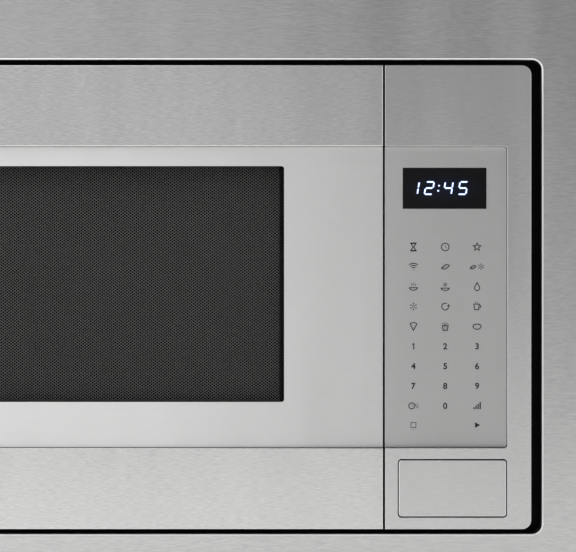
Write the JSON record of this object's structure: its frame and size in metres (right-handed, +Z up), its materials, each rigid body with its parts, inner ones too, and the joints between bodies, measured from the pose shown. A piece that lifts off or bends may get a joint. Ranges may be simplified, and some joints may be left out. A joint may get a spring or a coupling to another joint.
{
  "type": "built-in microwave oven",
  "caption": "Built-in microwave oven with steel door, recessed keypad panel, push-button door release, glass turntable and a steel trim frame round its front.",
  "frame": {"origin": "centre of the trim frame's opening, on the cabinet's face", "axes": "+X right, +Y into the cabinet, +Z up"},
  "size_m": [0.756, 0.506, 0.48],
  "materials": {
    "brushed_steel": "horizontal brush",
    "satin_steel": "satin",
    "black_paint": "semi-matte",
    "screen_paint": "matte",
    "galvanised": "zinc coated",
    "cavity_enamel": "satin enamel",
    "rubber": "matte",
    "black_plastic": "fine texture",
    "grey_plastic": "satin",
    "white_plastic": "satin",
    "red_plastic": "satin",
    "mica": "satin",
    "circuit_board": "solder mask",
    "ferrite": "matte",
    "heat_sink": "extruded",
    "motor_steel": "zinc coated",
    "screw_steel": "zinc coated",
    "spring_steel": "bright wire",
    "smoked_plastic": "gloss",
    "window_glass": "clear",
    "window_film": "clear",
    "bulb_glass": "frosted",
    "tray_glass": "clear pressed"
  },
  "bodies": {
    "root": {"trim_frame": "brushed_steel", "trim_surround": "black_paint", "trim_brackets": "galvanised", "mounting_base": "galvanised", "risers": "galvanised", "feet": "rubber", "base_plate": "galvanised", "outer_wrap": "galvanised", "back_panel": "galvanised", "cord_bushing": "black_plastic", "front_plate": "cavity_enamel", "cavity": "cavity_enamel", "waveguide": "galvanised", "waveguide_cover": "mica", "magnetron": "galvanised", "lamp_socket": "galvanised", "lamp_bulb": "bulb_glass", "inverter_tray": "grey_plastic", "inverter_board": "circuit_board", "hv_transformer": "ferrite", "heat_sink": "heat_sink", "fan_shroud": "grey_plastic", "fan_motor": "motor_steel", "air_guide": "grey_plastic", "turntable_motor": "motor_steel", "hinge_brackets": "galvanised", "screws": "screw_steel", "latch_housing": "white_plastic", "interlock_switches": "black_plastic", "lever_spring": "spring_steel", "control_fascia": "brushed_steel", "keypad_panel": "satin_steel", "display_window": "smoked_plastic", "control_base": "black_plastic", "control_board": "circuit_board", "display_module": "black_plastic"},
    "door": {"door_band_top": "brushed_steel", "door_band_bottom": "brushed_steel", "door_front_panel": "satin_steel", "door_glass": "window_glass", "door_carrier": "black_plastic", "door_inner_frame": "black_paint", "door_screen": "screen_paint", "choke_cover": "black_plastic", "door_inner_film": "window_film", "hinge_bushes": "white_plastic", "latch_spring": "spring_steel"},
    "latch": {"latch_hooks": "white_plastic"},
    "button": {"door_button": "brushed_steel"},
    "lever": {"opening_lever": "white_plastic"},
    "plunger_upper": {"plunger_upper": "red_plastic"},
    "plunger_lower": {"plunger_lower": "red_plastic"},
    "turntable": {"coupler": "white_plastic", "glass_tray": "tray_glass"},
    "ring": {"roller_ring": "white_plastic"},
    "wheel_1": {"roller_wheel_1": "white_plastic"},
    "wheel_2": {"roller_wheel_2": "white_plastic"},
    "wheel_3": {"roller_wheel_3": "white_plastic"},
    "fan": {"fan_blade": "white_plastic"}
  },
  "joints": [
    {"name": "door_hinge", "type": "hinge", "parent": "root", "child": "door", "pos_m": [-0.293, -0.017, 0], "axis": [0, 0, -1], "range_deg": [0, 105]},
    {"name": "latch_lift", "type": "slide", "parent": "door", "child": "latch", "axis": [0, 0, 1], "range_m": [0, 0.004], "deforming": ["latch_spring"]},
    {"name": "button_push", "type": "slide", "parent": "root", "child": "button", "axis": [0, 1, 0], "range_m": [0, 0.005], "stiffness_N_per_m": 300, "springref_m": -0.002},
    {"name": "lever_pivot", "type": "hinge", "parent": "root", "child": "lever", "pos_m": [0.196, 0.016, -0.112], "axis": [1, 0, 0], "range_deg": [0, 14.4], "deforming": ["lever_spring"]},
    {"name": "plunger_upper_slide", "type": "slide", "parent": "root", "child": "plunger_upper", "axis": [0, -1, 0], "range_m": [0, 0.0016]},
    {"name": "plunger_lower_slide", "type": "slide", "parent": "root", "child": "plunger_lower", "axis": [0, -1, 0], "range_m": [0, 0.0016]},
    {"name": "tray_spin", "type": "hinge", "parent": "root", "child": "turntable", "pos_m": [-0.05525, 0.2272, 0], "axis": [0, 0, 1], "continuous": true},
    {"name": "ring_spin", "type": "hinge", "parent": "root", "child": "ring", "pos_m": [-0.05525, 0.2272, 0], "axis": [0, 0, 1], "continuous": true},
    {"name": "wheel_1_spin", "type": "hinge", "parent": "ring", "child": "wheel_1", "pos_m": [-0.05525, 0.3572, -0.1117], "axis": [0, 1, 0], "continuous": true},
    {"name": "wheel_2_spin", "type": "hinge", "parent": "ring", "child": "wheel_2", "pos_m": [-0.16783, 0.1622, -0.1117], "axis": [-0.866, -0.5, 0], "continuous": true},
    {"name": "wheel_3_spin", "type": "hinge", "parent": "ring", "child": "wheel_3", "pos_m": [0.05733, 0.1622, -0.1117], "axis": [0.866, -0.5, 0], "continuous": true},
    {"name": "fan_spin", "type": "hinge", "parent": "root", "child": "fan", "pos_m": [0.23137, 0, 0.062], "axis": [0, 1, 0], "continuous": true}
  ],
  "couplings": [
    {"joint": "latch_lift", "follows": "button_push", "ratio": 0.8},
    {"joint": "lever_pivot", "follows": "button_push", "rad_per_m": 50},
    {"joint": "plunger_upper_slide", "follows": "door_hinge", "m_per_rad": 0.00081851},
    {"joint": "plunger_lower_slide", "follows": "door_hinge", "m_per_rad": 0.00081851},
    {"joint": "ring_spin", "follows": "tray_spin", "ratio": 0.5},
    {"joint": "wheel_1_spin", "follows": "tray_spin", "ratio": -7.2222},
    {"joint": "wheel_2_spin", "follows": "tray_spin", "ratio": -7.2222},
    {"joint": "wheel_3_spin", "follows": "tray_spin", "ratio": -7.2222}
  ]
}
